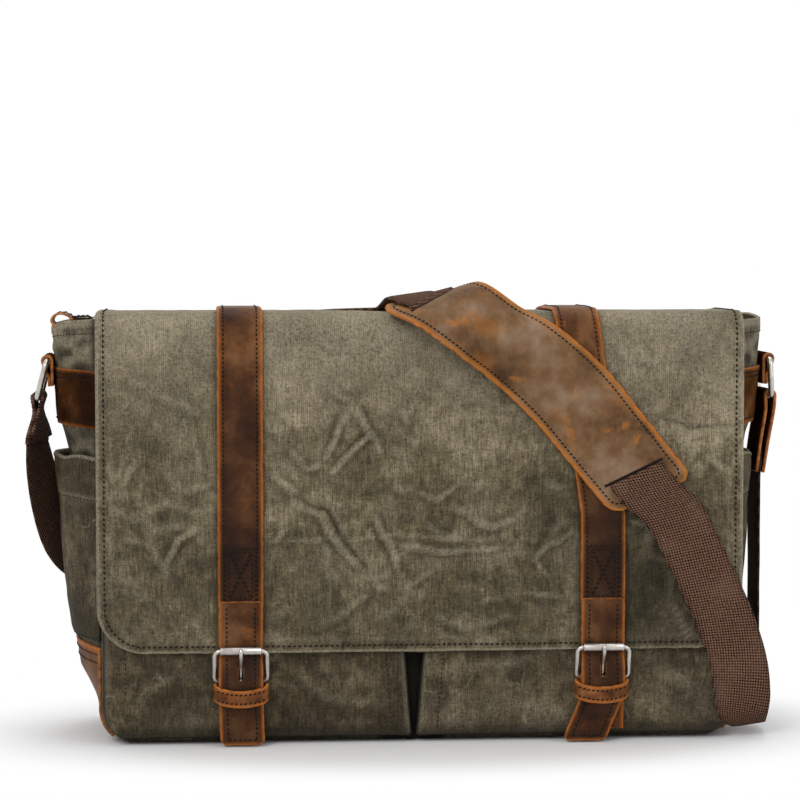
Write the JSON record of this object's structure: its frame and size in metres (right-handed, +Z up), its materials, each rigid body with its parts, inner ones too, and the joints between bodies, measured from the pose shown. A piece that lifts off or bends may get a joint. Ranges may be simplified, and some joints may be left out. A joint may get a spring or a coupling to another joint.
{
  "type": "messenger bag",
  "caption": "Waxed canvas messenger bag with leather straps and buckles on its flap, front and side pockets, a zipped mouth and a padded webbing shoulder strap.",
  "frame": {"origin": "middle of the flat base that the bag stands on", "axes": "+X to the right along the bag's width as the front is looked at, -Y out of the front, +Z up"},
  "size_m": [0.5029, 0.1462, 0.3059],
  "materials": {
    "canvas": "waxed canvas",
    "canvas_dark": "waxed canvas, shaded",
    "lining": "plain cotton",
    "leather": "oiled pull-up leather",
    "leather_edge": "raw edged oiled leather",
    "webbing": "woven cotton webbing",
    "nickel": "satin nickel",
    "zip": "zip tape"
  },
  "bodies": {
    "bag": {"front_panel": "canvas", "back_panel": "canvas", "gusset_left": "canvas", "side_pocket_left": "canvas", "front_pocket_left": "canvas", "gusset_band_left": "leather", "corner_leather_left": "leather_edge", "ring_tab_left": "leather_edge", "snap_stud_left": "nickel", "gusset_right": "canvas", "side_pocket_right": "canvas", "front_pocket_right": "canvas", "gusset_band_right": "leather", "corner_leather_right": "leather_edge", "ring_tab_right": "leather_edge", "snap_stud_right": "nickel", "bottom_panel": "canvas_dark", "lining": "lining", "laptop_divider": "lining", "zip_tail": "zip", "zip_tail_tab": "leather_edge", "webbing_left": "webbing", "webbing_back": "webbing", "webbing_top": "webbing", "webbing_front": "webbing", "webbing_fold": "webbing", "shoulder_pad": "leather", "shoulder_pad_lining": "canvas_dark"},
    "flap_top": {"flap_top_panel": "canvas", "strap_top_left": "leather", "strap_top_right": "leather"},
    "flap_front": {"flap_front_panel": "canvas", "strap_front_left": "leather", "tongue_left": "leather", "chape_left": "leather_edge", "keeper_left": "leather_edge", "snap_cap_left": "nickel", "strap_front_right": "leather", "tongue_right": "leather", "chape_right": "leather_edge", "keeper_right": "leather_edge", "snap_cap_right": "nickel"},
    "buckle_left": {"buckle_frame_left": "nickel"},
    "prong_left": {"prong_left": "nickel"},
    "roller_left": {"roller_left": "nickel"},
    "buckle_right": {"buckle_frame_right": "nickel"},
    "prong_right": {"prong_right": "nickel"},
    "roller_right": {"roller_right": "nickel"},
    "ring_left": {"ring_left": "nickel", "webbing_loop_left": "webbing"},
    "ring_right": {"ring_right": "nickel", "strap_end_right": "leather"},
    "zip_front": {"zip_panel_front": "zip"},
    "zip_back": {"zip_panel_back": "zip"},
    "zip_slider": {"zip_slider": "nickel"},
    "zip_pull": {"zip_pull": "nickel"}
  },
  "joints": [
    {"name": "flap_top_hinge", "type": "hinge", "parent": "bag", "child": "flap_top", "pos_m": [0, 0.06, 0.283], "axis": [-1, 0, 0], "range_deg": [0, 180], "deforming": ["webbing_back", "webbing_top", "webbing_front", "shoulder_pad", "shoulder_pad_lining"]},
    {"name": "flap_front_hinge", "type": "hinge", "parent": "flap_top", "child": "flap_front", "pos_m": [0, -0.06, 0.283], "axis": [-1, 0, 0], "range_deg": [0, 180]},
    {"name": "buckle_left_pivot", "type": "hinge", "parent": "flap_front", "child": "buckle_left", "pos_m": [-0.119, -0.0603, 0.042], "axis": [1, 0, 0], "range_deg": [0, 12]},
    {"name": "prong_left_pivot", "type": "hinge", "parent": "buckle_left", "child": "prong_left", "pos_m": [-0.119, -0.0603, 0.042], "axis": [1, 0, 0], "range_deg": [0, 15]},
    {"name": "roller_left_spin", "type": "hinge", "parent": "buckle_left", "child": "roller_left", "pos_m": [-0.119, -0.0657, 0.063], "axis": [1, 0, 0], "continuous": true},
    {"name": "ring_left_swing", "type": "hinge", "parent": "bag", "child": "ring_left", "pos_m": [-0.24624, 0.0079, 0.25], "axis": [0, 1, 0], "range_deg": [0, 60], "deforming": ["webbing_left"]},
    {"name": "buckle_right_pivot", "type": "hinge", "parent": "flap_front", "child": "buckle_right", "pos_m": [0.119, -0.0603, 0.042], "axis": [1, 0, 0], "range_deg": [0, 12]},
    {"name": "prong_right_pivot", "type": "hinge", "parent": "buckle_right", "child": "prong_right", "pos_m": [0.119, -0.0603, 0.042], "axis": [1, 0, 0], "range_deg": [0, 15]},
    {"name": "roller_right_spin", "type": "hinge", "parent": "buckle_right", "child": "roller_right", "pos_m": [0.119, -0.0657, 0.063], "axis": [1, 0, 0], "continuous": true},
    {"name": "ring_right_swing", "type": "hinge", "parent": "bag", "child": "ring_right", "pos_m": [0.23941, 0.0079, 0.25], "axis": [0, -1, 0], "range_deg": [0, 60], "deforming": ["webbing_fold"]},
    {"name": "zip_back_lift", "type": "hinge", "parent": "bag", "child": "zip_back", "pos_m": [0, 0.0556, 0.2746], "axis": [1, 0, 0], "range_deg": [-90, 0]},
    {"name": "zip_front_lift", "type": "hinge", "parent": "bag", "child": "zip_front", "pos_m": [0, -0.0398, 0.2746], "axis": [-1, 0, 0], "range_deg": [-90, 0]},
    {"name": "zip_slide", "type": "slide", "parent": "bag", "child": "zip_slider", "axis": [-1, 0, 0], "range_m": [-0.38, 0]},
    {"name": "zip_pull_lift", "type": "hinge", "parent": "zip_slider", "child": "zip_pull", "pos_m": [-0.216, 0.0079, 0.2786], "axis": [0, 1, 0], "range_deg": [0, 90]}
  ],
  "couplings": [
    {"joint": "flap_front_hinge", "follows": "flap_top_hinge", "ratio": 1},
    {"joint": "zip_front_lift", "follows": "zip_back_lift", "ratio": 1},
    {"joint": "zip_slide", "follows": "zip_back_lift", "m_per_rad": 0.24192}
  ]
}
